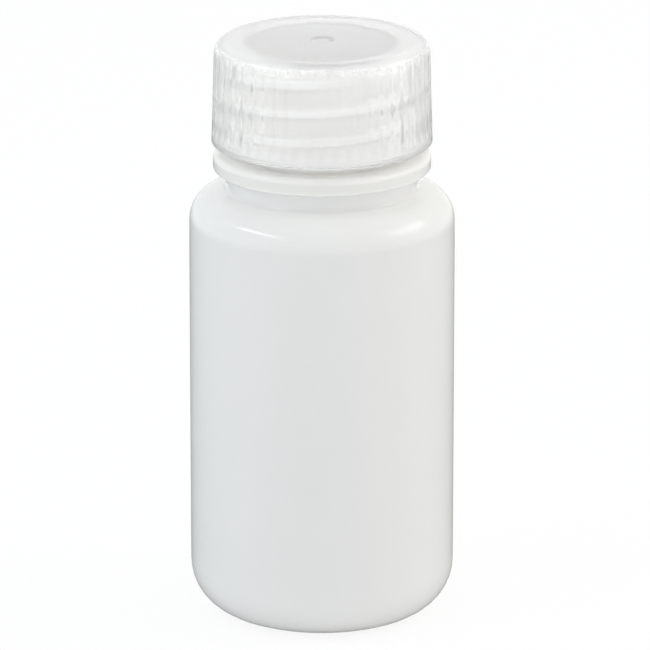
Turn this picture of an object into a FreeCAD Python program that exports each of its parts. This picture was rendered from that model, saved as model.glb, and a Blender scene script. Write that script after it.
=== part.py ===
"""A 60 ml wide-mouth laboratory bottle with its screw cap, in millimetres.

The bottle is one blow-moulded shell and the cap one injection moulding. Both are turned about +Z. The origin is
on the surface that the bottle stands on, in the middle of its foot ring.
"""

import FreeCAD, Part
import math
import os

import Sketcher

SIZES = {
    # the blown shell
    "body_diameter": 39.0,
    "bottle_height": 85.6,
    "body_wall": 1.1,
    "floor_thickness": 1.3,
    "base_corner_radius": 7.5,
    "foot_ring_width": 1.4,
    "push_up_rise": 1.8,
    "push_up_slope_width": 2.6,
    "push_up_dome": 0.3,
    "shoulder_radius": 4.6,
    "shoulder_rise": 1.35,  # from the barrel's sharp upper corner to the neck's root
    # the neck's root and the bead above it
    "neck_root_step": 1.5,  # how far the root stands outside the finish
    "neck_root_length": 2.85,
    "bead_projection": 1.8,  # how far the bead stands outside the root
    "bead_thickness": 2.5,
    "bead_upper_radius": 0.9,
    "bead_lower_chamfer": 0.4,
    # the threaded neck, whose height runs from the bead's top to the lip
    "finish_diameter": 25.4,
    "finish_height": 15.4,
    "neck_wall": 1.7,
    "lip_chamfer": 0.3,
    "thread_pitch": 4.23,
    "thread_turns": 2.35,
    "thread_depth": 1.0,
    "thread_root_width": 2.2,
    "thread_crest_width": 0.9,
    "thread_top_drop": 1.6,
    "thread_fade_turns": 0.12,
    "thread_end_angle": -64.0,  # degrees about +Z from +X to the thread's upper end
    # the cap
    "cap_panel_thickness": 1.5,
    "cap_above_bead": 1.5,
    "cap_skirt_thickness": 2.2,  # at the lower edge
    "cap_skirt_taper": 0.45,  # how much smaller the radius is at the top
    "cap_edge_radius": 2.0,
    "cap_band_height": 2.1,
    "cap_lower_chamfer": 0.3,
    "cap_inner_chamfer": 0.8,
    "cap_lead_in": 0.5,
    "thread_clearance": 0.3,
    "gate_dimple_diameter": 3.6,
    "gate_dimple_depth": 0.3,
    # the plug seal under the cap's panel
    "plug_clearance": 0.25,
    "plug_wall": 0.9,
    "plug_depth": 2.6,
    "plug_tip_chamfer": 0.25,
    # the grip ribs round the cap
    "rib_count": 52,
    "rib_width": 0.6,
    "rib_depth": 0.45,
}

SECTIONS_PER_TURN = 24  # of the neck's thread


class Length:
    """A length together with the formula that it comes from, so that a sketch starts in place and stays bound."""

    def __init__(self, value, formula):
        self.value = value
        self.formula = formula

    def __add__(self, other):
        other = as_length(other)
        return Length(self.value + other.value, f"({self.formula} + {other.formula})")

    def __sub__(self, other):
        other = as_length(other)
        return Length(self.value - other.value, f"({self.formula} - {other.formula})")

    def __mul__(self, factor):
        factor = as_length(factor)
        return Length(self.value * factor.value, f"({self.formula} * {factor.formula})")

    def __truediv__(self, divisor):
        divisor = as_length(divisor)
        return Length(self.value / divisor.value, f"({self.formula} / {divisor.formula})")


def as_length(number):
    """A plain number as a Length, and a Length as it is."""
    return number if isinstance(number, Length) else Length(float(number), repr(number))


doc = FreeCAD.newDocument("wide_mouth_bottle")
sheet = doc.addObject("Spreadsheet::Sheet", "sizes")
for row, (alias, number) in enumerate(SIZES.items(), start=1):
    sheet.set(f"A{row}", alias)
    sheet.set(f"B{row}", str(number))
    sheet.setAlias(f"B{row}", alias)
doc.recompute()


def size(alias):
    """One cell of the sheet as a Length."""
    return Length(float(sheet.get(alias)), f"sizes.{alias}")


ON_AXIS = Length(0.0, "0")


def rounding(before, corner, after, radius):
    """The arc that rounds a corner: its centre, and where it meets the lines before and after it."""
    here = FreeCAD.Vector(*corner, 0)
    back = (FreeCAD.Vector(*before, 0) - here).normalize()
    ahead = (FreeCAD.Vector(*after, 0) - here).normalize()
    half = back.getAngle(ahead) / 2
    reach = radius / math.tan(half)
    centre = here + (back + ahead).normalize() * (radius / math.sin(half))
    return centre, here + back * reach, here + ahead * reach


def bind(sketch, constraint, length):
    """Adds a constraint whose size follows the sheet."""
    index = sketch.addConstraint(constraint)
    sketch.setExpression(f"Constraints[{index}]", length.formula)


def place_point(sketch, geometry, end, corner):
    """Holds one point of the sketch at a corner, given as its radius and its height."""
    origin, across, upright = (-1, 1), -1, -2
    radius, height = corner
    if radius is ON_AXIS:
        sketch.addConstraint(Sketcher.Constraint("PointOnObject", geometry, end, upright))
    else:
        bind(sketch, Sketcher.Constraint("DistanceX", *origin, geometry, end, radius.value), radius)
    if height is ON_AXIS:
        sketch.addConstraint(Sketcher.Constraint("PointOnObject", geometry, end, across))
    else:
        bind(sketch, Sketcher.Constraint("DistanceY", *origin, geometry, end, height.value), height)


def draw_outline(sketch, corners):
    """Draws a closed outline of lines through the corners, each a radius, a height and, if it is rounded, the
    rounding's radius. A rounded corner keeps a construction point at its sharp place, which both lines meet.
    """
    count = len(corners)
    sharp = [(corner[0].value, corner[1].value) for corner in corners]
    arcs, starts, ends = {}, {}, {}
    for at, corner in enumerate(corners):
        starts[at] = ends[at] = FreeCAD.Vector(*sharp[at], 0)
        if len(corner) == 3:
            before, after = sharp[at - 1], sharp[(at + 1) % count]
            arcs[at], ends[at], starts[at] = rounding(before, sharp[at], after, corner[2].value)
    lines = [
        sketch.addGeometry(Part.LineSegment(starts[at], ends[(at + 1) % count]), False) for at in range(count)
    ]
    for at, corner in enumerate(corners):
        line_in, line_out = lines[at - 1], lines[at]
        if at not in arcs:
            sketch.addConstraint(Sketcher.Constraint("Coincident", line_in, 2, line_out, 1))
            place_point(sketch, line_out, 1, corner[:2])
            continue
        centre, radius = arcs[at], corner[2]
        first = math.atan2(ends[at].y - centre.y, ends[at].x - centre.x)
        last = math.atan2(starts[at].y - centre.y, starts[at].x - centre.x)
        anticlockwise = (last - first) % (2 * math.pi) < math.pi
        if not anticlockwise:
            first, last = last, first
        circle = Part.Circle(centre, FreeCAD.Vector(0, 0, 1), radius.value)
        arc = sketch.addGeometry(Part.ArcOfCircle(circle, first, last), False)
        point = sketch.addGeometry(Part.Point(FreeCAD.Vector(*sharp[at], 0)), True)
        place_point(sketch, point, 1, corner[:2])
        for line in (line_in, line_out):
            sketch.addConstraint(Sketcher.Constraint("PointOnObject", point, 1, line))
        arc_in, arc_out = (1, 2) if anticlockwise else (2, 1)
        sketch.addConstraint(Sketcher.Constraint("Tangent", line_in, 2, arc, arc_in))
        sketch.addConstraint(Sketcher.Constraint("Tangent", arc, arc_out, line_out, 1))
        bind(sketch, Sketcher.Constraint("Radius", arc, radius.value), radius)


def section_sketch(body, name, corners):
    """A sketch of half a section, in the plane of X and Z."""
    sketch = body.newObject("Sketcher::SketchObject", name)
    plane = next(item for item in body.Origin.OriginFeatures if item.Role == "XZ_Plane")
    sketch.AttachmentSupport = (plane, [""])
    sketch.MapMode = "FlatFace"
    draw_outline(sketch, corners)
    return sketch


def turned(body, name, corners):
    """A solid turned about Z from half its section."""
    sketch = section_sketch(body, f"{name}_section", corners)
    feature = body.newObject("PartDesign::Revolution", name)
    feature.Profile = sketch
    feature.ReferenceAxis = (sketch, ["V_Axis"])
    feature.Angle = 360.0
    return feature


def neck_lines():
    """The radii and heights that the neck, the shoulder and the cap share."""
    finish_radius = size("finish_diameter") / 2
    root_radius = finish_radius + size("neck_root_step")
    bead_top = size("bottle_height") - size("finish_height")
    bead_bottom = bead_top - size("bead_thickness")
    root_height = bead_bottom - size("neck_root_length")
    return {
        "finish_radius": finish_radius,
        "mouth_radius": finish_radius - size("neck_wall"),
        "root_radius": root_radius,
        "bead_radius": root_radius + size("bead_projection"),
        "bead_top": bead_top,
        "bead_bottom": bead_bottom,
        "root_height": root_height,
        "shoulder_height": root_height - size("shoulder_rise"),
    }


def bottle_section():
    """Half the shell's section, from the middle of its base up the outside, over the lip and down the inside."""
    body_radius = size("body_diameter") / 2
    inner_radius = body_radius - size("body_wall")
    corner = size("base_corner_radius")
    ring_outer = body_radius - corner
    ring_inner = ring_outer - size("foot_ring_width")
    land_radius = ring_inner - size("push_up_slope_width")
    rise = size("push_up_rise")
    floor = size("floor_thickness")
    slope_round = size("push_up_slope_width") / 2
    dome = rise + size("push_up_dome")
    wall = size("body_wall")
    shoulder_round = size("shoulder_radius")
    neck = neck_lines()
    finish_radius, mouth_radius = neck["finish_radius"], neck["mouth_radius"]
    root_radius, root_height = neck["root_radius"], neck["root_height"]
    bead_radius, bead_top, bead_bottom = neck["bead_radius"], neck["bead_top"], neck["bead_bottom"]
    bead_edge = size("bead_lower_chamfer")
    lip, lip_edge = size("bottle_height"), size("lip_chamfer")
    outside = [
        (ON_AXIS, dome),
        (land_radius, rise, slope_round),
        (ring_inner, ON_AXIS),
        (body_radius, ON_AXIS, corner),
        (body_radius, neck["shoulder_height"], shoulder_round),
        (root_radius, root_height),
        (root_radius, bead_bottom),
        (bead_radius - bead_edge, bead_bottom),
        (bead_radius, bead_bottom + bead_edge),
        (bead_radius, bead_top, size("bead_upper_radius")),
        (finish_radius, bead_top),
        (finish_radius, lip - lip_edge),
        (finish_radius - lip_edge, lip),
    ]
    inside = [
        (mouth_radius + lip_edge, lip),
        (mouth_radius, lip - lip_edge),
        (mouth_radius, bead_top),
        (root_radius - wall, bead_bottom),
        (root_radius - wall, root_height - wall),
        (inner_radius, neck["shoulder_height"] - wall, shoulder_round - wall),
        (inner_radius, floor, corner - wall),
        (ring_inner, floor),
        (land_radius, rise + floor, slope_round),
        (ON_AXIS, dome + floor),
    ]
    return outside + inside


def thread_section(angle, height, depth):
    """The neck thread's section at one angle round the neck: a trapezium whose root is sunk in the wall."""
    sunk = SIZE["neck_wall"] / 4
    root = SIZE["finish_diameter"] / 2
    flank = (SIZE["thread_root_width"] - SIZE["thread_crest_width"]) / 2
    foot = SIZE["thread_crest_width"] / 2 + flank * (depth + sunk) / SIZE["thread_depth"]
    crest = SIZE["thread_crest_width"] / 2
    outline = [(root - sunk, -foot), (root + depth, -crest), (root + depth, crest), (root - sunk, foot)]
    across = FreeCAD.Vector(math.cos(angle), math.sin(angle), 0)
    points = [across * radius + FreeCAD.Vector(0, 0, height + up) for radius, up in outline]
    return Part.makePolygon(points + points[:1])


def thread_ridge():
    """The right-hand thread round the neck, which rises out of the wall at its start and sinks in at its end."""
    turns, pitch = SIZE["thread_turns"], SIZE["thread_pitch"]
    top = SIZE["bottle_height"] - SIZE["thread_top_drop"]
    end_angle = math.radians(SIZE["thread_end_angle"])
    steps = round(turns * SECTIONS_PER_TURN)
    hidden = -SIZE["thread_depth"] / 20
    sections = []
    for step in range(steps + 1):
        done = turns * step / steps
        nearest_end = min(done, turns - done)
        share = min(1.0, nearest_end / SIZE["thread_fade_turns"])
        eased = share * share * (3 - 2 * share)
        depth = hidden + (SIZE["thread_depth"] - hidden) * eased
        below_end = turns - done
        angle = end_angle - 2 * math.pi * below_end
        sections.append(thread_section(angle, top - pitch * below_end, depth))
    return Part.makeLoft(sections, True, False)


def cap_lines():
    """The cap's radii and heights in its own frame, with its lower edge at height 0 and its panel on the lip."""
    underside = size("finish_height") - size("cap_above_bead")
    bore = size("finish_diameter") / 2 + size("thread_depth") + size("thread_clearance")
    bottom_radius = bore + size("cap_skirt_thickness")
    return {
        "underside": underside,
        "height": underside + size("cap_panel_thickness"),
        "bore": bore,
        "bottom_radius": bottom_radius,
        "top_radius": bottom_radius - size("cap_skirt_taper"),
    }


def cap_section():
    """Half the cap's section: its panel and plug from below, then its skirt, then its top."""
    cap_line = cap_lines()
    underside, height = cap_line["underside"], cap_line["height"]
    bore, inner_edge, lead_in = cap_line["bore"], size("cap_inner_chamfer"), size("cap_lead_in")
    bottom_radius, lower_edge = cap_line["bottom_radius"], size("cap_lower_chamfer")
    dimple, dimple_depth = size("gate_dimple_diameter") / 2, size("gate_dimple_depth")
    plug_outer = neck_lines()["mouth_radius"] - size("plug_clearance")
    plug_inner = plug_outer - size("plug_wall")
    plug_end, tip = underside - size("plug_depth"), size("plug_tip_chamfer")
    return [
        (ON_AXIS, underside),
        (plug_inner, underside),
        (plug_inner, plug_end + tip),
        (plug_inner + tip, plug_end),
        (plug_outer - tip, plug_end),
        (plug_outer, plug_end + tip),
        (plug_outer, underside),
        (bore - inner_edge, underside),
        (bore, underside - inner_edge),
        (bore, lead_in),
        (bore + lead_in, ON_AXIS),
        (bottom_radius - lower_edge, ON_AXIS),
        (bottom_radius, lower_edge),
        (cap_line["top_radius"], height, size("cap_edge_radius")),
        (dimple, height),
        (dimple - dimple_depth, height - dimple_depth),
        (ON_AXIS, height - dimple_depth),
    ]


def cut_flutes(body):
    """Cuts the flutes that leave the grip ribs standing, from the lower band up through the rounded edge."""
    cap_line = cap_lines()
    height, bottom_radius = cap_line["height"], cap_line["bottom_radius"]
    depth = size("rib_depth")
    band = size("cap_band_height")
    lean = size("cap_skirt_taper") / height
    floor_low = bottom_radius - lean * band - depth
    floor_high = cap_line["top_radius"] - depth
    clear = bottom_radius + depth
    sketch = section_sketch(
        body,
        "flute_section",
        [(floor_low, band), (clear, band + depth), (clear, height), (floor_high, height)],
    )
    around = bottom_radius * 2 * math.pi
    flute_width = around / size("rib_count") - size("rib_width")
    flute = body.newObject("PartDesign::Pocket", "flute")
    flute.Profile = sketch
    flute.SideType = "Symmetric"
    flute.Length = flute_width.value
    flute.setExpression("Length", flute_width.formula)
    ring = body.newObject("PartDesign::PolarPattern", "flutes")
    ring.Originals = [flute]
    ring.Axis = (sketch, ["V_Axis"])
    ring.Angle = 360.0
    ring.setExpression("Occurrences", "sizes.rib_count")
    body.Tip = ring
    return ring


SIZE = {alias: float(sheet.get(alias)) for alias in SIZES}

shell = doc.addObject("PartDesign::Body", "shell")
turned(shell, "shell_turned", bottle_section())
thread = doc.addObject("Part::Feature", "neck_thread")
thread.Shape = thread_ridge()
doc.recompute()
bottle = doc.addObject("Part::Fuse", "bottle_moulding")
bottle.Base = shell
bottle.Tool = thread
bottle.Label = "bottle"

cap = doc.addObject("PartDesign::Body", "cap_moulding")
cap.Label = "cap"
turned(cap, "cap_turned", cap_section())
doc.recompute()
before_flutes = cap.Shape.Volume
cut_flutes(cap)
cap.setExpression("Placement.Base.z", (size("bottle_height") - cap_lines()["underside"]).formula)
doc.recompute()

for item in doc.Objects:
    if {"Invalid", "Error"} & set(item.State):
        raise RuntimeError(f"{item.Label} could not be built: {item.State}")
if not before_flutes - cap.Shape.Volume > SIZE["rib_count"] * SIZE["rib_depth"]:
    raise RuntimeError("the flutes took nothing off the cap")

os.makedirs("parts", exist_ok=True)
for part in (bottle, cap):
    if part.Shape.isNull() or not part.Shape.isValid() or len(part.Shape.Solids) != 1:
        raise RuntimeError(f"{part.Label} is not one valid solid")
    part.Shape.exportStep(f"parts/{part.Label}.step")
    box = part.Shape.optimalBoundingBox()
    print(
        f"{part.Label}: {part.Shape.Volume:.0f} mm3, {len(part.Shape.Faces)} faces, "
        f"z {box.ZMin:.2f} to {box.ZMax:.2f}, {box.XLength:.2f} mm across"
    )
common = bottle.Shape.common(cap.Shape).Volume
print(f"the two overlap by {common:.4f} mm3")
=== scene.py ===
# %% [markdown]
# # A wide-mouth bottle in milky plastic
#
# This notebook dresses a small laboratory bottle: a blown shell of milky polyethylene and a moulded cap of clearer
# polypropylene, through which the thread and the plug seal show softly. Nearly all of the look comes from light that
# goes into the plastic and comes out somewhere else, so both pieces are closed shells with a true wall thickness, and
# not skins.
#
# The pieces of the frame say where everything is. They are loaded first and never moved.

# %% Load the frame
import math
from collections import namedtuple

import bmesh
import bpy
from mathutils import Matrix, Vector


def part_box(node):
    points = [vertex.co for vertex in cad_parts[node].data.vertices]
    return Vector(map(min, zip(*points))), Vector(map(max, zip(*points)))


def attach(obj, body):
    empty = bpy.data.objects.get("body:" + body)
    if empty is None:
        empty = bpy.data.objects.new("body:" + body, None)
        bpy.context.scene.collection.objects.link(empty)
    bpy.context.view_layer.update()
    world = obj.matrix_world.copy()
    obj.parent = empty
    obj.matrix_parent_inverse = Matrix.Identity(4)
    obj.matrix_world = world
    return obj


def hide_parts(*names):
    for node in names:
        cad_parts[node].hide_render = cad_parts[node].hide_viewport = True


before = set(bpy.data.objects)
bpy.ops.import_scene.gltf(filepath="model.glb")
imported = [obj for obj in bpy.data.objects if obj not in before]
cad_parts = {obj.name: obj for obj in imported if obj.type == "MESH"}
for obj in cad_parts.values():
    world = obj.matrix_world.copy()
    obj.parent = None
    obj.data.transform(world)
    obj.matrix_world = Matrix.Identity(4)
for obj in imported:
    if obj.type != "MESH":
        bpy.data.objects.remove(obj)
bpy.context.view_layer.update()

# %% [markdown]
# ## The sizes that the two pieces share
#
# The overall sizes are read from the frame, so that the shells follow it. The frame's solids are drawn with flat
# facets, which would show as corners on a glossy rim, and their small edges are plain bevels. Both pieces are therefore
# replaced by finer meshes of the same outline, with the small roundings that a mould leaves.

# %% Sizes from the frame
MM = 0.001
bottle_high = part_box("bottle")[1]
cap_low, cap_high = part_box("cap")

BODY_RADIUS = bottle_high.x
LIP = bottle_high.z
CAP_FOOT, CAP_TOP = cap_low.z, cap_high.z
CAP_RADIUS = cap_high.x
print(f"barrel {2 * BODY_RADIUS / MM:.1f} mm across, lip at {LIP / MM:.1f} mm, top at {CAP_TOP / MM:.1f} mm")

# %% Heights of the neck
FINISH_RADIUS = 12.7 * MM
FINISH_HEIGHT = 15.4 * MM
BEAD_THICKNESS = 2.5 * MM
NECK_ROOT_LENGTH = 2.85 * MM
SHOULDER_RISE = 1.35 * MM
BEAD_TOP = LIP - FINISH_HEIGHT
BEAD_BOTTOM = BEAD_TOP - BEAD_THICKNESS
NECK_ROOT = BEAD_BOTTOM - NECK_ROOT_LENGTH
SHOULDER = NECK_ROOT - SHOULDER_RISE
print(f"bead at {BEAD_BOTTOM / MM:.1f} to {BEAD_TOP / MM:.1f} mm, shoulder at {SHOULDER / MM:.1f} mm")

# %% Sizes of the thread
THREAD_PITCH = 4.23 * MM
THREAD_DEPTH = 1.0 * MM
THREAD_FADE_TURNS = 0.12
THREAD_BELOW_LIP = 1.6 * MM
THREAD_TOP = LIP - THREAD_BELOW_LIP
THREAD_END_ANGLE = math.radians(-64)
print(f"thread {2 * (FINISH_RADIUS + THREAD_DEPTH) / MM:.1f} mm over its crests, {THREAD_PITCH / MM:.2f} mm pitch")

# %% Sizes where the two pieces meet
NECK_WALL = 1.7 * MM
PLUG_CLEARANCE = 0.25 * MM
BORE_CLEARANCE = 0.3 * MM
CAP_PANEL = 1.5 * MM
MOUTH_RADIUS = FINISH_RADIUS - NECK_WALL
PLUG_RADIUS = MOUTH_RADIUS - PLUG_CLEARANCE
CAP_BORE = FINISH_RADIUS + THREAD_DEPTH + BORE_CLEARANCE
print(f"mouth {2 * MOUTH_RADIUS / MM:.1f} mm across, plug {2 * PLUG_RADIUS / MM:.1f} mm")

# %% [markdown]
# ## Outlines with rounded corners
#
# Both pieces are turned shapes, so each begins as half of its section: a list of corners from the axis round the
# wall and back to the axis. A corner carries the radius of its rounding and how closely the line after it is
# divided. The lines that will carry a thread need close rings, and a plain wall needs few.
#
# Smooth shading bends the light over a whole face. Each straight line therefore gets one more point close to each
# end, which holds the bend in the rounding and leaves the wall flat.

# %% Outline helper
Corner = namedtuple("Corner", "radius height rounding spacing", defaults=(0.0, 4 * MM))
ARC_STEP = math.radians(9)
HOLD = 0.12 * MM


def rounding_points(before, corner, after):
    """The points of the arc that rounds one corner, or the corner itself if it is sharp."""
    here = Vector((corner.radius, corner.height))
    if not corner.rounding:
        return [here]
    back = (Vector((before.radius, before.height)) - here).normalized()
    ahead = (Vector((after.radius, after.height)) - here).normalized()
    half = back.angle(ahead) / 2
    centre = here + (back + ahead).normalized() * (corner.rounding / math.sin(half))
    start = here + back * (corner.rounding / math.tan(half)) - centre
    turn_angle = math.pi - 2 * half
    if back.cross(ahead) > 0:
        turn_angle = -turn_angle
    steps = max(3, math.ceil(abs(turn_angle) / ARC_STEP))
    points = []
    for step in range(steps + 1):
        angle = turn_angle * step / steps
        cosine, sine = math.cos(angle), math.sin(angle)
        points.append(centre + Vector((cosine * start.x - sine * start.y, sine * start.x + cosine * start.y)))
    return points


def line_points(start, end, spacing):
    """The points between the two ends of a straight line."""
    length = (end - start).length
    if length < 4 * HOLD:
        return []
    inner = length - 2 * HOLD
    steps = math.ceil(inner / spacing)
    return [start.lerp(end, (HOLD + inner * step / steps) / length) for step in range(steps + 1)]


def outline(corners):
    """All the points of an open outline that starts and ends on the axis."""
    count = len(corners)
    arcs = [
        rounding_points(corners[at - 1], corner, corners[(at + 1) % count]) for at, corner in enumerate(corners)
    ]
    points = list(arcs[0])
    for corner, arc, following in zip(corners, arcs, arcs[1:]):
        points += line_points(arc[-1], following[0], corner.spacing) + following
    return points


# %% [markdown]
# ## Turning an outline
#
# Blender's Screw modifier and the Spin tool would also turn an outline, but they leave double points on the axis and
# give no say in the angles. Here the angles are a list. The cap can then have its points exactly on the edges of its
# ribs, which keeps 52 ribs even with eight points each.

# %% Turning helper
def turned(name, points, angles):
    """A closed object turned about Z. A point on the axis becomes a pole."""
    vertices, rings = [], []
    for radius, height in points:
        first = len(vertices)
        if radius < 0.001 * MM:
            vertices.append((0.0, 0.0, height))
        else:
            vertices += [(radius * math.cos(angle), radius * math.sin(angle), height) for angle in angles]
        rings.append(range(first, len(vertices)))
    faces = []
    for ring, following in zip(rings, rings[1:]):
        for at in range(len(angles)):
            beside = (at + 1) % len(angles)
            if len(ring) == 1:
                faces.append((ring[0], following[beside], following[at]))
            elif len(following) == 1:
                faces.append((ring[at], ring[beside], following[0]))
            else:
                faces.append((ring[at], ring[beside], following[beside], following[at]))
    mesh = bpy.data.meshes.new(name)
    mesh.from_pydata(vertices, [], faces)
    shell = bmesh.new()
    shell.from_mesh(mesh)
    bmesh.ops.recalc_face_normals(shell, faces=shell.faces)
    shell.to_mesh(mesh)
    shell.free()
    mesh.shade_smooth()
    piece = bpy.data.objects.new(name, mesh)
    bpy.context.scene.collection.objects.link(piece)
    print(f"{name}: {len(rings)} rings of {len(angles)} points")
    return piece


# %% [markdown]
# ## Formulas as nodes
#
# A thread and a row of ribs follow a rule: how far a point moves depends only on its angle, its radius and its
# height. Geometry Nodes can say that rule once and apply it to any turned shape. Written out node by node it is hard
# to read, so this small class lets Python's own + and * add the Math nodes. It works in shader trees as well.

# %% Formula helper
class Formula:
    """A number inside a node tree. Arithmetic on it adds Math nodes to the tree."""

    def __init__(self, tree, socket):
        self.tree = tree
        self.socket = socket

    def math(self, operation, *others):
        """This number taken through one Math node together with others."""
        node = self.tree.nodes.new("ShaderNodeMath")
        node.operation = operation
        for socket, item in zip(node.inputs, (self, *others)):
            if isinstance(item, Formula):
                self.tree.links.new(item.socket, socket)
            else:
                socket.default_value = item
        return Formula(self.tree, node.outputs[0])

    def __add__(self, other):
        return self.math("ADD", other)

    def __sub__(self, other):
        return self.math("SUBTRACT", other)

    def __mul__(self, other):
        return self.math("MULTIPLY", other)

    def __truediv__(self, other):
        return self.math("DIVIDE", other)

    def clamped(self):
        """This number held between 0 and 1."""
        return self.math("MAXIMUM", 0.0).math("MINIMUM", 1.0)

    def eased(self):
        """This number held between 0 and 1, with a soft start and a soft end."""
        share = self.clamped()
        return share * share * (share * -2.0 + 3.0)


# %% Tree helper
class ShapeTree:
    """A Geometry Nodes tree that moves the points of a turned shape. Its inputs are named sizes."""

    def __init__(self, name):
        self.tree = bpy.data.node_groups.new(name, "GeometryNodeTree")
        for way in ("INPUT", "OUTPUT"):
            self.tree.interface.new_socket("Geometry", in_out=way, socket_type="NodeSocketGeometry")
        self.group = self.tree.nodes.new("NodeGroupInput")
        position = self.tree.nodes.new("GeometryNodeInputPosition")
        self.place = self.tree.nodes.new("ShaderNodeSeparateXYZ")
        self.tree.links.new(position.outputs[0], self.place.inputs[0])

    def size(self, name):
        """A named input of the tree."""
        self.tree.interface.new_socket(name, in_out="INPUT", socket_type="NodeSocketFloat")
        return Formula(self.tree, self.group.outputs[name])

    def across(self):
        """Each point's place along X."""
        return Formula(self.tree, self.place.outputs["X"])

    def deep(self):
        """Each point's place along Y."""
        return Formula(self.tree, self.place.outputs["Y"])

    def height(self):
        """Each point's place along Z."""
        return Formula(self.tree, self.place.outputs["Z"])

    def radius(self):
        """Each point's distance from the axis."""
        across, deep = self.across(), self.deep()
        return (across * across + deep * deep).math("SQRT")

    def angle(self):
        """Each point's angle about the axis, in radians."""
        return self.deep().math("ARCTAN2", self.across())

    def close(self, outward=None, upward=None):
        """Ends the tree by moving each point away from the axis, or up, by a formula."""
        shift = self.tree.nodes.new("ShaderNodeCombineXYZ")
        if outward:
            share = outward / self.radius().math("MAXIMUM", 0.01 * MM)
            self.tree.links.new((self.across() * share).socket, shift.inputs["X"])
            self.tree.links.new((self.deep() * share).socket, shift.inputs["Y"])
        if upward:
            self.tree.links.new(upward.socket, shift.inputs["Z"])
        self.tree.interface.new_socket("Material", in_out="INPUT", socket_type="NodeSocketMaterial")
        move = self.tree.nodes.new("GeometryNodeSetPosition")
        realize = self.tree.nodes.new("GeometryNodeRealizeInstances")
        dress = self.tree.nodes.new("GeometryNodeSetMaterial")
        end = self.tree.nodes.new("NodeGroupOutput")
        links = self.tree.links
        links.new(self.group.outputs["Geometry"], move.inputs["Geometry"])
        links.new(shift.outputs[0], move.inputs["Offset"])
        links.new(move.outputs["Geometry"], realize.inputs["Geometry"])
        links.new(realize.outputs["Geometry"], dress.inputs["Geometry"])
        links.new(self.group.outputs["Material"], dress.inputs["Material"])
        links.new(dress.outputs["Geometry"], end.inputs["Geometry"])
        return self.tree


def reshape(piece, tree, material, sizes):
    """Puts a piece through a tree with these sizes, and keeps the result as its plain mesh."""
    modifier = piece.modifiers.new(tree.name, "NODES")
    modifier.node_group = tree
    values = {**sizes, "Material": material}
    for item in tree.interface.items_tree:
        if item.in_out == "INPUT" and item.name in values:
            modifier[item.identifier] = values[item.name]
    graph = bpy.context.evaluated_depsgraph_get()
    made = bpy.data.meshes.new_from_object(piece.evaluated_get(graph))
    piece.modifiers.clear()
    piece.data = made
    made.shade_smooth()
    print(f"{piece.name} went through {tree.name}")


# %% [markdown]
# ## The screw thread
#
# A thread is a ridge whose middle climbs by one pitch in each turn. Seen from a point on the neck, the ridge passes at
# heights that are one pitch apart, and which heights they are depends on the point's angle. So the rule is: find the
# passing that is nearest, see how far above or below it the point is, and lift the point out of the wall by the
# thread's section at that distance. The two ends fade out, as the cutter's run-out in the mould does.
#
# The cap's thread is the same rule with a negative depth, because it stands inwards from the bore.

# %% Thread tree
WALL_REACH = 0.5 * MM


def thread_tree():
    """A tree that raises a right-hand thread on the wall at a given radius."""
    shape = ShapeTree("screw_thread")
    wall, depth = shape.size("Wall radius"), shape.size("Depth")
    pitch, turns, fade = shape.size("Pitch"), shape.size("Turns"), shape.size("Fade turns")
    root, crest = shape.size("Root width"), shape.size("Crest width")
    top, end_angle = shape.size("Top height"), shape.size("End angle")
    here = ((end_angle - shape.angle()) / (2 * math.pi)).math("FRACT")
    below_top = (top - shape.height()) / pitch
    turn = (below_top - here).math("ROUND") + here
    away = (below_top - turn).math("ABSOLUTE") * pitch
    section = ((root / 2 - away) / (root / 2 - crest / 2)).eased()
    ends = (turn / fade).eased() * ((turns - turn) / fade).eased()
    on_wall = (shape.radius() - wall).math("ABSOLUTE").math("LESS_THAN", WALL_REACH)
    return shape.close(outward=depth * section * ends * on_wall)


# %% [markdown]
# ## The grip ribs
#
# The mould of the cap has flutes cut into it, and what stands between them are the ribs. The rule follows that: each
# point between two ribs sinks to the flutes' floor, a cone a little inside the skirt. Where the rounded top edge is
# already inside that cone nothing moves, so the ribs run out over the edge by themselves, as on the real cap.

# %% Rib tree
def rib_tree():
    """A tree that sinks the flutes between the ribs of a skirt."""
    shape = ShapeTree("grip_ribs")
    count, width, flank = shape.size("Count"), shape.size("Rib width"), shape.size("Flank width")
    floor_low, floor_high = shape.size("Floor radius low"), shape.size("Floor radius high")
    start, end = shape.size("Start height"), shape.size("End height")
    runout = shape.size("Run-out")
    radius, height = shape.radius(), shape.height()
    turn = shape.angle() / (2 * math.pi) * count
    away = (turn - turn.math("ROUND")).math("ABSOLUTE") / count * (2 * math.pi) * radius
    between = ((away - width / 2) / flank).clamped()
    floor = floor_low + (floor_high - floor_low) * ((height - start) / (end - start))
    spare = (radius - floor).math("MAXIMUM", 0.0)
    started = ((height - start) / runout).clamped()
    return shape.close(outward=spare * between * started * -1.0)


# %% [markdown]
# ## What the blow mould leaves
#
# The two halves of the mould close on the soft tube of plastic. That leaves a hair-thin parting line up both sides,
# and a pinch-off ridge across the pushed-up base, where the tube was welded shut. Neither is more than a few tenths of
# a millimetre, but a bottle without them looks turned on a lathe.

# %% Mould mark trees
def parting_tree():
    """A tree that raises a fine line up both sides, in the plane of X and Z."""
    shape = ShapeTree("parting_line")
    width, proud, inside = shape.size("Width"), shape.size("Height"), shape.size("Inner radius")
    low, high = shape.size("Start height"), shape.size("End height")
    across_line = (width / 2 - shape.deep().math("ABSOLUTE")) / (width / 2)
    outer = (shape.radius() - inside).math("GREATER_THAN", 0.0)
    ends = ((shape.height() - low) / width).eased() * ((high - shape.height()) / width).eased()
    return shape.close(outward=proud * across_line.eased() * outer * ends)


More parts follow.
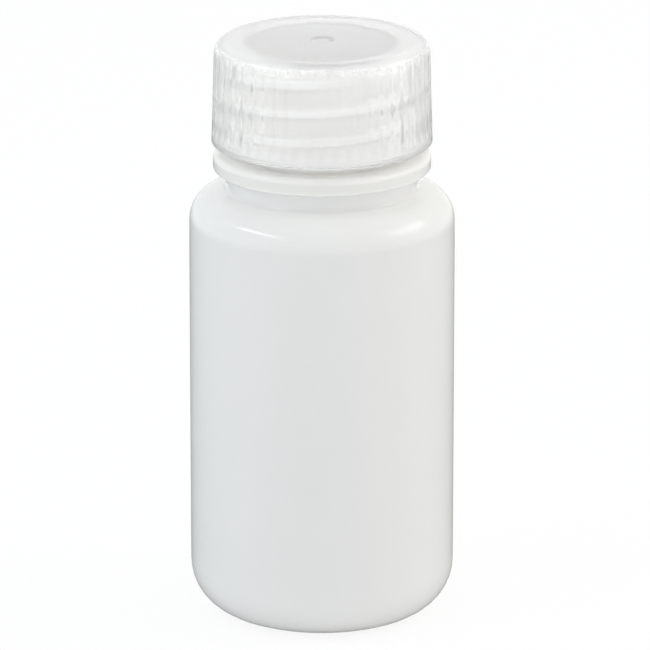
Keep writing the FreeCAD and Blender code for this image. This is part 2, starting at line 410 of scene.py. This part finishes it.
def pinch_tree():
    """A tree that lowers a ridge across the underside of the base."""
    shape = ShapeTree("pinch_off")
    width, proud, length = shape.size("Width"), shape.size("Height"), shape.size("Length")
    under = shape.size("Floor middle")
    across_line = (width / 2 - shape.deep().math("ABSOLUTE")) / (width / 2)
    ends = (length / 2 - shape.across().math("ABSOLUTE")) / width
    outer = shape.height().math("LESS_THAN", under)
    return shape.close(upward=proud * across_line.eased() * ends.eased() * outer * -1.0)


# %% [markdown]
# ## The two plastics
#
# High-density polyethylene is milky all through: light that enters the wall is scattered by its crystals, crosses the
# wall several times and leaves as a soft, even glow. Subsurface scattering does that. Its radius is larger than the
# wall is thick, so light also crosses the empty inside of the bottle. The surface has a soft gloss, with a fine orange
# peel from the sandblasted mould and slow waves where the wall cooled unevenly.
#
# How milky the plastic looks depends on how thick it is and on what lies behind it. A short list of steps up the bottle
# paints light and shade into the colour. The neck root under the bead, and the ledge and the foot of the neck under the
# cap, lie in shade and are painted lighter. The shoulder and the bead face the light and are painted darker. The crests
# of the thread, the thickest places, are painted lighter too. That is partly for their thicker plastic and partly a
# painted highlight for the light they catch through the cap.

# %% Material helper
def new_material(name):
    """A material with an empty tree, its Principled shader and a Formula-ready coordinate."""
    material = bpy.data.materials.new(name)
    material.use_nodes = True
    tree = material.node_tree
    shader = tree.nodes["Principled BSDF"]
    coordinate = tree.nodes.new("ShaderNodeTexCoord").outputs["Object"]
    return material, tree, shader, coordinate


def noise(tree, coordinate, feature_size, detail, stretch=(1.0, 1.0, 1.0)):
    """A noise pattern from 0 to 1 whose blotches are about feature_size across."""
    mapping = tree.nodes.new("ShaderNodeMapping")
    mapping.inputs["Scale"].default_value = stretch
    pattern = tree.nodes.new("ShaderNodeTexNoise")
    pattern.inputs["Scale"].default_value = 1 / feature_size
    pattern.inputs["Detail"].default_value = detail
    tree.links.new(coordinate, mapping.inputs["Vector"])
    tree.links.new(mapping.outputs[0], pattern.inputs["Vector"])
    return Formula(tree, pattern.outputs["Fac"])


def height_share(tree, coordinate, low, high):
    """0 below one height of the object and 1 above another, with a soft change between them."""
    place = tree.nodes.new("ShaderNodeSeparateXYZ")
    tree.links.new(coordinate, place.inputs[0])
    return ((Formula(tree, place.outputs["Z"]) - low) / (high - low)).eased()


def radius_share(tree, coordinate, low, high):
    """0 nearer to the axis than one radius and 1 farther than another, with a soft change between them."""
    place = tree.nodes.new("ShaderNodeSeparateXYZ")
    tree.links.new(coordinate, place.inputs[0])
    across, deep = (Formula(tree, place.outputs[axis]) for axis in "XY")
    return (((across * across + deep * deep).math("SQRT") - low) / (high - low)).eased()


def bump(tree, height, distance, normal=None):
    """A bump from a height formula. A distance is the real depth of the pattern."""
    node = tree.nodes.new("ShaderNodeBump")
    node.inputs["Distance"].default_value = distance
    tree.links.new(height.socket, node.inputs["Height"])
    if normal:
        tree.links.new(normal, node.inputs["Normal"])
    return node.outputs["Normal"]


def blend_colours(tree, share, first, second):
    """A colour between two others."""
    mix = tree.nodes.new("ShaderNodeMix")
    mix.data_type = "RGBA"
    mix.inputs["A"].default_value = (*first, 1.0)
    mix.inputs["B"].default_value = (*second, 1.0)
    tree.links.new(share.clamped().socket, mix.inputs["Factor"])
    return mix.outputs["Result"]


# %% Milky polyethylene
# The colour runs between a darker and a paler milk, with a random cloud and with the painted light and shade of the
# steps below.
DARKER_MILK = (0.742, 0.736, 0.714)
PALER_MILK = (0.985, 0.984, 0.968)
MILK_CLOUD, MILK_WAVE, MILK_PEEL = 14 * MM, 9 * MM, 0.5 * MM
MILK_WAVE_DEPTH, MILK_PEEL_DEPTH = 0.02 * MM, 0.004 * MM
MILK_SCATTER = 2.4 * MM
BARREL_MILKINESS = 0.45
CREST_THICKNESS_AND_LIGHT = 0.5
# Painted light and shade, one step at a time: darker on the shoulder and the bead, which face the light; lighter on the
# neck root under the bead and on the ledge and foot of the neck under the cap, which lie in shade.
PAINTED_LIGHT_AND_SHADE_STEPS = (
    (SHOULDER - 6 * MM, SHOULDER, -0.2),
    (NECK_ROOT - 1 * MM, NECK_ROOT + 1 * MM, 0.45),
    (BEAD_BOTTOM - 0.3 * MM, BEAD_BOTTOM + 0.3 * MM, -0.68),
    (BEAD_TOP + 0.1 * MM, BEAD_TOP + 0.7 * MM, 0.86),
    (BEAD_TOP + 1.5 * MM, BEAD_TOP + 3 * MM, -0.48),
)


def milky_polyethylene():
    """Natural high-density polyethylene as a blow mould leaves it, with light and shade painted into its colour up the
    neck.
    """
    material, tree, shader, coordinate = new_material("milky_polyethylene")
    cloud = noise(tree, coordinate, MILK_CLOUD, 2.0, stretch=(1.0, 1.0, 0.45))
    peel = noise(tree, coordinate, MILK_PEEL, 3.0)
    wave = noise(tree, coordinate, MILK_WAVE, 1.0, stretch=(1.0, 1.0, 0.35))
    share = cloud * 0.1 + BARREL_MILKINESS
    # Each step paints light or shade into the colour above its height.
    for low, high, change in PAINTED_LIGHT_AND_SHADE_STEPS:
        share = share + height_share(tree, coordinate, low, high) * change
    ridge = radius_share(tree, coordinate, FINISH_RADIUS, FINISH_RADIUS + THREAD_DEPTH)
    above_bead = height_share(tree, coordinate, BEAD_TOP + 1.5 * MM, BEAD_TOP + 3 * MM)
    # The thread's crests are paler, partly for their thicker plastic and partly as a painted highlight for the light
    # they catch through the cap.
    share = share + ridge * above_bead * CREST_THICKNESS_AND_LIGHT
    tree.links.new(blend_colours(tree, share, DARKER_MILK, PALER_MILK), shader.inputs["Base Color"])
    tree.links.new((cloud * 0.05 + 0.14).socket, shader.inputs["Roughness"])
    waves = bump(tree, wave, MILK_WAVE_DEPTH)
    tree.links.new(bump(tree, peel, MILK_PEEL_DEPTH, waves), shader.inputs["Normal"])
    shader.inputs["IOR"].default_value = 1.54
    shader.inputs["Subsurface Weight"].default_value = 1.0
    shader.inputs["Subsurface Radius"].default_value = (1.0, 1.0, 1.0)
    shader.inputs["Subsurface Scale"].default_value = MILK_SCATTER
    return material


# %% [markdown]
# Polypropylene is clearer than polyethylene. The thread and the plug seal can be made out through the cap, but softly,
# because the plastic is still a little cloudy. Most of the surface therefore lets light through, and the rest scatters
# it. A cap's mould has a polished core and a plainer cavity, so the inner faces are smooth, the skirt is rougher and
# the panel on top is the roughest. A thin smooth coat gives the skin of the plastic its gloss.

# %% Clear polypropylene
COOL_CLEAR = (0.994, 0.997, 1.0)
WARM_CLEAR = (0.999, 0.999, 0.997)
CLEAR_CLOUD, CLEAR_PEEL, CLEAR_PEEL_DEPTH = 6 * MM, 0.35 * MM, 0.003 * MM
CORE_ROUGHNESS, SKIRT_ROUGHNESS, PANEL_ROUGHNESS = 0.09, 0.25, 0.35


def clear_polypropylene():
    """Natural polypropylene as an injection mould leaves it."""
    material, tree, shader, coordinate = new_material("clear_polypropylene")
    cloud = noise(tree, coordinate, CLEAR_CLOUD, 2.0)
    peel = noise(tree, coordinate, CLEAR_PEEL, 2.0)
    tree.links.new(blend_colours(tree, cloud, COOL_CLEAR, WARM_CLEAR), shader.inputs["Base Color"])
    above = height_share(tree, coordinate, CAP_TOP - CAP_PANEL + 0.2 * MM, CAP_TOP - CAP_PANEL + 0.6 * MM)
    around = radius_share(tree, coordinate, CAP_BORE + 0.6 * MM, CAP_BORE + 1.0 * MM)
    outside = above.math("MAXIMUM", around) * (SKIRT_ROUGHNESS - CORE_ROUGHNESS)
    panel = height_share(tree, coordinate, CAP_TOP - 0.9 * MM, CAP_TOP - 0.45 * MM)
    panel = panel * (PANEL_ROUGHNESS - SKIRT_ROUGHNESS)
    tree.links.new((cloud * 0.01 + outside + panel + CORE_ROUGHNESS).socket, shader.inputs["Roughness"])
    tree.links.new(bump(tree, peel, CLEAR_PEEL_DEPTH), shader.inputs["Normal"])
    shader.inputs["IOR"].default_value = 1.49
    shader.inputs["Coat Weight"].default_value = 0.7
    shader.inputs["Coat Roughness"].default_value = 0.08
    shader.inputs["Transmission Weight"].default_value = 0.84
    return material


polyethylene = milky_polyethylene()
polypropylene = clear_polypropylene()
for plastic in (polyethylene, polypropylene):
    print(plastic.name, "has", len(plastic.node_tree.nodes), "nodes")

# %% [markdown]
# ## The bottle
#
# The outline runs from the middle of the pushed-up base, round the foot ring, up the barrel, over the shoulder and the
# bead to the lip, and back down inside. The inner wall keeps the wall's thickness under every curve, which is what a
# blown shell does.

# %% Sizes of the blown shell
WALL = 1.1 * MM
FLOOR_THICKNESS = 1.3 * MM
BASE_CORNER = 7.5 * MM
FOOT_RING_WIDTH = 1.4 * MM
PUSH_UP_RISE = 1.8 * MM
PUSH_UP_SLOPE = 2.6 * MM
PUSH_UP_DOME = 0.3 * MM
SHOULDER_RADIUS = 4.6 * MM
NECK_ROOT_STEP = 1.5 * MM
BEAD_STEP = 1.8 * MM
NECK_ROOT_RADIUS = FINISH_RADIUS + NECK_ROOT_STEP
BEAD_RADIUS = NECK_ROOT_RADIUS + BEAD_STEP

# %% Bottle outline
foot_outer = BODY_RADIUS - BASE_CORNER
foot_inner = foot_outer - FOOT_RING_WIDTH
land = foot_inner - PUSH_UP_SLOPE
body_inner = BODY_RADIUS - WALL
root_inner = NECK_ROOT_RADIUS - WALL

FOOT_ROUNDING = 0.25 * MM
ROOT_ROUNDING = 0.5 * MM
UNDERCUT_ROUNDING = 0.3 * MM
BEAD_ROUNDING = 0.9 * MM
LIP_ROUNDING = 0.4 * MM
INNER_NECK_ROUNDING = 1.5 * MM
BASE_SPACING, THREAD_SPACING = 0.5 * MM, 0.16 * MM

bottle_corners = [
    Corner(0.0, PUSH_UP_RISE + PUSH_UP_DOME, 0.0, BASE_SPACING),
    Corner(land, PUSH_UP_RISE, PUSH_UP_SLOPE / 2, BASE_SPACING),
    Corner(foot_inner, 0.0, FOOT_ROUNDING),
    Corner(BODY_RADIUS, 0.0, BASE_CORNER),
    Corner(BODY_RADIUS, SHOULDER, SHOULDER_RADIUS),
    Corner(NECK_ROOT_RADIUS, NECK_ROOT, ROOT_ROUNDING),
    Corner(NECK_ROOT_RADIUS, BEAD_BOTTOM, UNDERCUT_ROUNDING),
    Corner(BEAD_RADIUS, BEAD_BOTTOM, ROOT_ROUNDING),
    Corner(BEAD_RADIUS, BEAD_TOP, BEAD_ROUNDING),
    Corner(FINISH_RADIUS, BEAD_TOP, ROOT_ROUNDING, THREAD_SPACING),
    Corner(FINISH_RADIUS, LIP, LIP_ROUNDING),
    Corner(MOUTH_RADIUS, LIP, LIP_ROUNDING),
    Corner(MOUTH_RADIUS, BEAD_TOP, INNER_NECK_ROUNDING),
    Corner(root_inner, BEAD_BOTTOM, INNER_NECK_ROUNDING),
    Corner(root_inner, NECK_ROOT - WALL, ROOT_ROUNDING),
    Corner(body_inner, SHOULDER - WALL, SHOULDER_RADIUS - WALL),
    Corner(body_inner, FLOOR_THICKNESS, BASE_CORNER - WALL),
    Corner(foot_inner, FLOOR_THICKNESS, FOOT_ROUNDING),
    Corner(land, PUSH_UP_RISE + FLOOR_THICKNESS, PUSH_UP_SLOPE / 2),
    Corner(0.0, PUSH_UP_RISE + PUSH_UP_DOME + FLOOR_THICKNESS),
]
print(len(bottle_corners), "corners, foot ring", round(2 * foot_outer / MM, 1), "mm across")

# %% [markdown]
# The parting line is narrower than the bottle's even spacing, so a few more angles are set close together where it
# runs.

# %% Bottle
BOTTLE_POINTS = 256
PARTING_WIDTH, PARTING_HEIGHT = 0.36 * MM, 0.03 * MM
PINCH_WIDTH, PINCH_HEIGHT = 0.7 * MM, 0.3 * MM
THREAD_TURNS = 2.35
THREAD_ROOT_WIDTH, THREAD_CREST_WIDTH = 2.2 * MM, 0.9 * MM

line_angles = [
    side + share * PARTING_WIDTH / BODY_RADIUS for side in (0, math.pi) for share in (-0.5, -0.25, 0, 0.25, 0.5)
]
even_angles = [(at + 0.5) * 2 * math.pi / BOTTLE_POINTS for at in range(BOTTLE_POINTS)]
bottle_angles = sorted(angle % (2 * math.pi) for angle in line_angles + even_angles)

bottle = turned("milky_bottle", outline(bottle_corners), bottle_angles)
screw_thread = thread_tree()
reshape(bottle, screw_thread, polyethylene, {
    "Wall radius": FINISH_RADIUS,
    "Depth": THREAD_DEPTH,
    "Pitch": THREAD_PITCH,
    "Turns": THREAD_TURNS,
    "Fade turns": THREAD_FADE_TURNS,
    "Root width": THREAD_ROOT_WIDTH,
    "Crest width": THREAD_CREST_WIDTH,
    "Top height": THREAD_TOP,
    "End angle": THREAD_END_ANGLE,
})
reshape(bottle, parting_tree(), polyethylene, {
    "Width": PARTING_WIDTH,
    "Height": PARTING_HEIGHT,
    "Inner radius": BODY_RADIUS - WALL / 2,
    "Start height": BASE_CORNER,
    "End height": SHOULDER - SHOULDER_RADIUS,
})
reshape(bottle, pinch_tree(), polyethylene, {
    "Width": PINCH_WIDTH,
    "Height": PINCH_HEIGHT,
    "Length": 2 * land,
    "Floor middle": PUSH_UP_RISE + PUSH_UP_DOME + FLOOR_THICKNESS / 2,
})
print("bottle faces:", len(bottle.data.polygons))

# %% [markdown]
# ## The cap
#
# The same steps make the cap. Its outline starts under the panel, goes round the plug that seals the mouth, down the
# threaded bore, and back up the skirt to the small dimple where the plastic was fed in. The panel on top is plain.
# The cap's thread lies just under the bottle's, because a closed cap pulls itself down on it, and it is low and
# round, so that light passes through it without dark glints.

# %% Sizes of the cap
CAP_TAPER = 0.45 * MM
CAP_EDGE = 2.0 * MM
CAP_BAND = 2.1 * MM
PLUG_WALL = 0.9 * MM
PLUG_DEPTH = 2.6 * MM

# %% Cap outline
cap_underside = CAP_TOP - CAP_PANEL
skirt_top = CAP_RADIUS - CAP_TAPER
plug_inner = PLUG_RADIUS - PLUG_WALL
plug_tip = cap_underside - PLUG_DEPTH

LEAD_IN = 0.5 * MM
DIMPLE_RADIUS, DIMPLE_DEPTH = 1.8 * MM, 0.3 * MM
PLUG_INNER_ROUNDING, PLUG_TIP_ROUNDING, PLUG_ROOT_ROUNDING = 0.25 * MM, 0.3 * MM, 0.4 * MM
BORE_ROUNDING, LEAD_IN_ROUNDING, SKIRT_FOOT_ROUNDING = 1.3 * MM, 0.2 * MM, 0.35 * MM
DIMPLE_ROUNDING = 0.5 * MM
BORE_SPACING, SKIRT_SPACING = 0.19 * MM, 0.6 * MM

cap_corners = [
    Corner(0.0, cap_underside),
    Corner(plug_inner, cap_underside, PLUG_INNER_ROUNDING),
    Corner(plug_inner, plug_tip, PLUG_TIP_ROUNDING),
    Corner(PLUG_RADIUS, plug_tip, PLUG_TIP_ROUNDING),
    Corner(PLUG_RADIUS, cap_underside, PLUG_ROOT_ROUNDING),
    Corner(CAP_BORE, cap_underside, BORE_ROUNDING, BORE_SPACING),
    Corner(CAP_BORE, CAP_FOOT + LEAD_IN, LEAD_IN_ROUNDING),
    Corner(CAP_BORE + LEAD_IN, CAP_FOOT, LEAD_IN_ROUNDING),
    Corner(CAP_RADIUS, CAP_FOOT, SKIRT_FOOT_ROUNDING, SKIRT_SPACING),
    Corner(skirt_top, CAP_TOP, CAP_EDGE),
    Corner(DIMPLE_RADIUS, CAP_TOP, DIMPLE_ROUNDING),
    Corner(DIMPLE_RADIUS - 2 * DIMPLE_DEPTH, CAP_TOP - DIMPLE_DEPTH, DIMPLE_ROUNDING),
    Corner(0.0, CAP_TOP - DIMPLE_DEPTH),
]
print(len(cap_corners), "corners, the plug's tip at", round(plug_tip / MM, 1), "mm")

# %% Angles round the cap
RIB_COUNT = 52
RIB_WIDTH = 0.6 * MM
RIB_FLANK = 0.45 * MM
RIB_DEPTH = 0.22 * MM
rib_pitch = 2 * math.pi / RIB_COUNT
crest_edge = RIB_WIDTH / 2 / CAP_RADIUS
floor_edge = (RIB_WIDTH / 2 + RIB_FLANK) / CAP_RADIUS
half_rib = [crest_edge, (crest_edge + floor_edge) / 2, floor_edge]
rib_angles = [-angle for angle in reversed(half_rib)] + [0.0] + half_rib + [rib_pitch / 2]
cap_angles = [rib * rib_pitch + angle for rib in range(RIB_COUNT) for angle in rib_angles]
print(len(cap_angles), "angles for", RIB_COUNT, "ribs")

# %% Cap
THREAD_PLAY = 0.3 * MM
CAP_THREAD_DROP = THREAD_PITCH / 2 - THREAD_PLAY
CAP_THREAD_DEPTH = 0.35 * MM
CAP_THREAD_TURNS = 1.9
CAP_THREAD_CREST_WIDTH = 0.4 * MM

cap = turned("ribbed_cap", outline(cap_corners), cap_angles)
reshape(cap, screw_thread, polypropylene, {
    "Wall radius": CAP_BORE,
    "Depth": -CAP_THREAD_DEPTH,
    "Pitch": THREAD_PITCH,
    "Turns": CAP_THREAD_TURNS,
    "Fade turns": THREAD_FADE_TURNS,
    "Root width": THREAD_PITCH,
    "Crest width": CAP_THREAD_CREST_WIDTH,
    "Top height": THREAD_TOP - CAP_THREAD_DROP,
    "End angle": THREAD_END_ANGLE,
})
reshape(cap, rib_tree(), polypropylene, {
    "Count": RIB_COUNT,
    "Rib width": RIB_WIDTH,
    "Flank width": RIB_FLANK,
    "Floor radius low": CAP_RADIUS - CAP_TAPER * CAP_BAND / (CAP_TOP - CAP_FOOT) - RIB_DEPTH,
    "Floor radius high": skirt_top - RIB_DEPTH,
    "Start height": CAP_FOOT + CAP_BAND,
    "End height": CAP_TOP,
    "Run-out": RIB_DEPTH,
})
print("cap faces:", len(cap.data.polygons))

# %% [markdown]
# ## Riding on the frame
#
# Each shell takes the place of its solid and moves with its body, so the cap lifts off when the joint does.

# %% Bodies and nodes
for piece, node, slot in ((bottle, "bottle", "bottle_polyethylene"), (cap, "cap", "cap_polypropylene")):
    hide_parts(node)
    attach(piece, node)

# %% [markdown]
# ## The studio
#
# Pale plastic on a white ground is the hardest thing to light, because both end up white. The ground is white only to
# the eye: camera, mirror and see-through rays find it at full strength. The light that falls on the bottle comes from a
# plain sky, a little cooler from the left and warmer from the right, which is enough for the plastic to show its own
# pale grey. The floor is part its own light and part lit, which leaves the bottle a faint shadow to stand on.

# %% Seen or lit
WHITE = (1.0, 1.0, 1.0, 1.0)


def seen_directly(tree):
    """1 for the rays that carry a picture of what they meet, and 0 for those that gather light."""
    path = tree.nodes.new("ShaderNodeLightPath")
    rays = [Formula(tree, path.outputs[name]) for name in ("Is Camera Ray", "Is Glossy Ray", "Is Transmission Ray")]
    return (rays[0] + rays[1] + rays[2]).clamped()


def emission(tree, strength):
    """A white Emission shader's output."""
    node = tree.nodes.new("ShaderNodeEmission")
    node.inputs["Color"].default_value = WHITE
    if isinstance(strength, Formula):
        tree.links.new(strength.socket, node.inputs["Strength"])
    else:
        node.inputs["Strength"].default_value = strength
    return node.outputs[0]


def mixed(tree, share, first, second):
    """Two shaders mixed by a share of the second."""
    node = tree.nodes.new("ShaderNodeMixShader")
    if isinstance(share, Formula):
        tree.links.new(share.socket, node.inputs[0])
    else:
        node.inputs[0].default_value = share
    tree.links.new(first, node.inputs[1])
    tree.links.new(second, node.inputs[2])
    return node.outputs[0]


# %% Floor
FLOOR_SIZE = 12.0
FLOOR_LIT_SHARE = 0.12
PAPER_WHITE = (0.9, 0.9, 0.9, 1.0)

floor_mesh = bpy.data.meshes.new("studio_floor")
half = FLOOR_SIZE / 2
floor_mesh.from_pydata([(-half, -half, 0), (half, -half, 0), (half, half, 0), (-half, half, 0)], [], [(0, 1, 2, 3)])
floor = bpy.data.objects.new("studio_floor", floor_mesh)
bpy.context.scene.collection.objects.link(floor)

floor_material = bpy.data.materials.new("white_ground")
floor_material.use_nodes = True
floor_tree = floor_material.node_tree
floor_tree.nodes.clear()
paper = floor_tree.nodes.new("ShaderNodeBsdfDiffuse")
paper.inputs["Color"].default_value = PAPER_WHITE
glow = emission(floor_tree, 1.0)
shown = mixed(floor_tree, FLOOR_LIT_SHARE, glow, paper.outputs[0])
floor_end = floor_tree.nodes.new("ShaderNodeOutputMaterial")
floor_tree.links.new(mixed(floor_tree, seen_directly(floor_tree), paper.outputs[0], shown), floor_end.inputs[0])
floor_material.cycles.emission_sampling = "NONE"
floor_mesh.materials.append(floor_material)
print(f"floor {FLOOR_SIZE:.0f} m wide, {FLOOR_LIT_SHARE:.0%} of it lit")

# %% World
SOFT_LIGHT = 1.0
SKY_LEFT, SKY_RIGHT = (0.89, 0.95, 1.0), (1.0, 0.977, 0.95)
FRONT_DIMMING = 0.07

world = bpy.data.worlds.new("studio_air")
bpy.context.scene.world = world
world.use_nodes = True
air = world.node_tree
air.nodes.clear()
sky = air.nodes.new("ShaderNodeSeparateXYZ")
air.links.new(air.nodes.new("ShaderNodeTexCoord").outputs["Generated"], sky.inputs[0])
from_right = Formula(air, sky.outputs["X"])
from_front = (Formula(air, sky.outputs["Y"]) * -1.0).clamped()
for_light = air.nodes.new("ShaderNodeBackground")
air.links.new(blend_colours(air, from_right * 0.5 + 0.5, SKY_LEFT, SKY_RIGHT), for_light.inputs["Color"])
strength = (from_front * from_front * -FRONT_DIMMING + 1.0) * SOFT_LIGHT
air.links.new(strength.socket, for_light.inputs["Strength"])
for_sight = air.nodes.new("ShaderNodeBackground")
for_sight.inputs["Color"].default_value = WHITE
world.cycles.sampling_method = "NONE"
air_end = air.nodes.new("ShaderNodeOutputWorld")
air.links.new(mixed(air, seen_directly(air), for_light.outputs[0], for_sight.outputs[0]), air_end.inputs[0])
print("sky colours, left and right:", SKY_LEFT, SKY_RIGHT)

# %% [markdown]
# Two soft lamps, high up at the sides, give the shoulder its two highlights: a narrow cool one on the left and a broad
# warm one on the right. The upright barrel mirrors the floor instead, and stays even.

# %% Lamps
def soft_lamp(name, place, target, size, power, colour):
    """An area lamp that faces a target."""
    data = bpy.data.lights.new(name, "AREA")
    data.shape = "RECTANGLE"
    data.size, data.size_y = size
    data.energy = power
    data.color = colour
    lamp = bpy.data.objects.new(name, data)
    lamp.location = place
    lamp.rotation_euler = (Vector(target) - Vector(place)).to_track_quat("-Z", "Y").to_euler()
    bpy.context.scene.collection.objects.link(lamp)
    print(f"{name}: {size[0] * 100:.0f} x {size[1] * 100:.0f} cm, {power} W")
    return lamp


COOL_WHITE, WARM_WHITE = (0.93, 0.97, 1.0), (1.0, 0.98, 0.94)
shoulder_middle = (0.0, 0.0, SHOULDER)
soft_lamp("cool_lamp", (-0.53, -0.24, 0.53), shoulder_middle, (0.50, 0.06), 0.65, COOL_WHITE)
soft_lamp("warm_lamp", (0.66, 0.0, 0.45), shoulder_middle, (0.52, 0.25), 0.95, WARM_WHITE)

# %% [markdown]
# The camera looks down on the bottle, so the sides of the barrel mirror the floor around its foot. A grey card lies
# there, which only mirror rays find. It draws the thin darker line that parts white plastic from a white ground. It
# reaches in under the rounded corner of the base, which mirrors the ground there, and it fades into the white floor
# farther out, so that a lower camera finds no edge mirrored in the barrel.

# %% Grey card
CARD_GREY = 0.18
CARD_HEIGHT = 0.1 * MM
CARD_INSIDE, CARD_FADES_FROM, CARD_OUTSIDE = foot_outer + 1 * MM, 0.18, 0.6
CARD_POINTS = 48

card_mesh = bpy.data.meshes.new("grey_card")
card_rim = [
    (radius * math.cos(angle), radius * math.sin(angle), CARD_HEIGHT)
    for radius in (CARD_INSIDE, CARD_OUTSIDE)
    for angle in (at * 2 * math.pi / CARD_POINTS for at in range(CARD_POINTS))
]
card_faces = [
    (at, at + CARD_POINTS, (at + 1) % CARD_POINTS + CARD_POINTS, (at + 1) % CARD_POINTS) for at in range(CARD_POINTS)
]
card_mesh.from_pydata(card_rim, [], card_faces)
card = bpy.data.objects.new("grey_card", card_mesh)
bpy.context.scene.collection.objects.link(card)
card.visible_camera = card.visible_diffuse = card.visible_transmission = card.visible_shadow = False

card_material = bpy.data.materials.new("grey_card")
card_material.use_nodes = True
card_tree = card_material.node_tree
card_tree.nodes.clear()
card_end = card_tree.nodes.new("ShaderNodeOutputMaterial")
card_place = card_tree.nodes.new("ShaderNodeTexCoord").outputs["Object"]
card_fade = radius_share(card_tree, card_place, CARD_FADES_FROM, CARD_OUTSIDE)
card_tree.links.new(emission(card_tree, card_fade * (1.0 - CARD_GREY) + CARD_GREY), card_end.inputs[0])
card_material.cycles.emission_sampling = "NONE"
card_mesh.materials.append(card_material)
print(f"card from {CARD_INSIDE / MM:.0f} to {CARD_OUTSIDE / MM:.0f} mm round the axis")

# %% [markdown]
# ## The camera
#
# The photograph was taken from far away and a little above, with a long lens, so the sides of the bottle look almost
# parallel.

# %% Camera
ELEVATION = math.radians(17)
DISTANCE = 1.0
LENS = 375.0
AIM = Vector((0.44 * MM, 0.0, 43.5 * MM))
camera_data = bpy.data.cameras.new("long_lens")
camera_data.lens = LENS
camera_data.sensor_width = 36.0
camera_data.clip_start = 0.01
camera = bpy.data.objects.new("long_lens", camera_data)
camera.location = AIM + DISTANCE * Vector((0.0, -math.cos(ELEVATION), math.sin(ELEVATION)))
camera.rotation_euler = (AIM - camera.location).to_track_quat("-Z", "Y").to_euler()
bpy.context.scene.collection.objects.link(camera)
bpy.context.scene.camera = camera
print(f"camera {DISTANCE:.1f} m away with a {LENS:.0f} mm lens")

# %% [markdown]
# ## How the light is counted
#
# Light crosses the cap's outer wall, its bore and the neck before it comes back, so it needs a good number of bounces.
# Cycles also has a filter that softens rough mirrors after a bounce. Inside a rough clear cap it throws a third of the
# light away, so it is switched off. The Standard view shows a colour about as it is written.

# %% Render settings
scene = bpy.context.scene
scene.view_settings.view_transform = "Standard"
scene.cycles.max_bounces = 20
scene.cycles.diffuse_bounces = 8
scene.cycles.transmission_bounces = 16
scene.cycles.glossy_bounces = 8
scene.cycles.blur_glossy = 0.0
scene.cycles.use_denoising = True
print("bounces:", scene.cycles.max_bounces, "- view:", scene.view_settings.view_transform)
